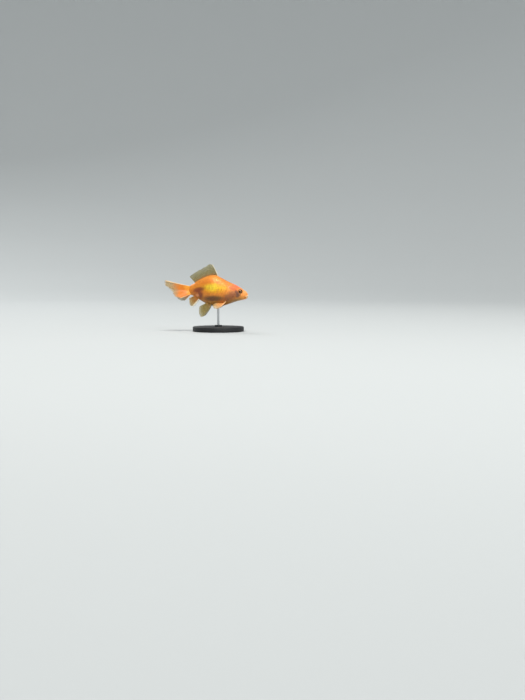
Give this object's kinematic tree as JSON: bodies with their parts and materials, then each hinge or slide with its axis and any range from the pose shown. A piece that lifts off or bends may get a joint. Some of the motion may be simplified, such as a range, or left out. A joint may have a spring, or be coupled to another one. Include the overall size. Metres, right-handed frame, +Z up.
{
  "type": "fantail goldfish",
  "caption": "Young fantail goldfish with a rounded belly, paired tail and fins, shown swimming nose slightly down, held over a round flat base by one thin rod.",
  "frame": {"origin": "middle of the flat underside of the stand's base", "axes": "+X to the fish's snout, +Y to the fish's left, +Z up"},
  "size_m": [0.076, 0.046, 0.0605],
  "materials": {
    "skin": "wet, scaled, orange with a golden flank",
    "cheek": "wet, smooth, brassy orange",
    "fin": "translucent membrane over fine rays",
    "eye": "wet, clear cornea over a dark iris and pupil",
    "stand_black": "satin black paint",
    "stand_steel": "brushed along the rod"
  },
  "bodies": {
    "root": {"head": "skin", "lower_jaw": "skin", "gill_cover_left": "cheek", "gill_cover_right": "cheek", "trunk": "skin", "tail_stalk": "skin", "eye_left": "eye", "eye_right": "eye", "dorsal_fin": "fin", "pectoral_fin_left": "fin", "pectoral_fin_right": "fin", "pelvic_fin_left": "fin", "pelvic_fin_right": "fin", "anal_fin_left": "fin", "anal_fin_right": "fin", "tail_fin_upper_left": "fin", "tail_fin_upper_right": "fin", "tail_fin_lower_left": "fin", "tail_fin_lower_right": "fin", "stand_base": "stand_black", "stand_rod": "stand_steel"}
  },
  "joints": []
}
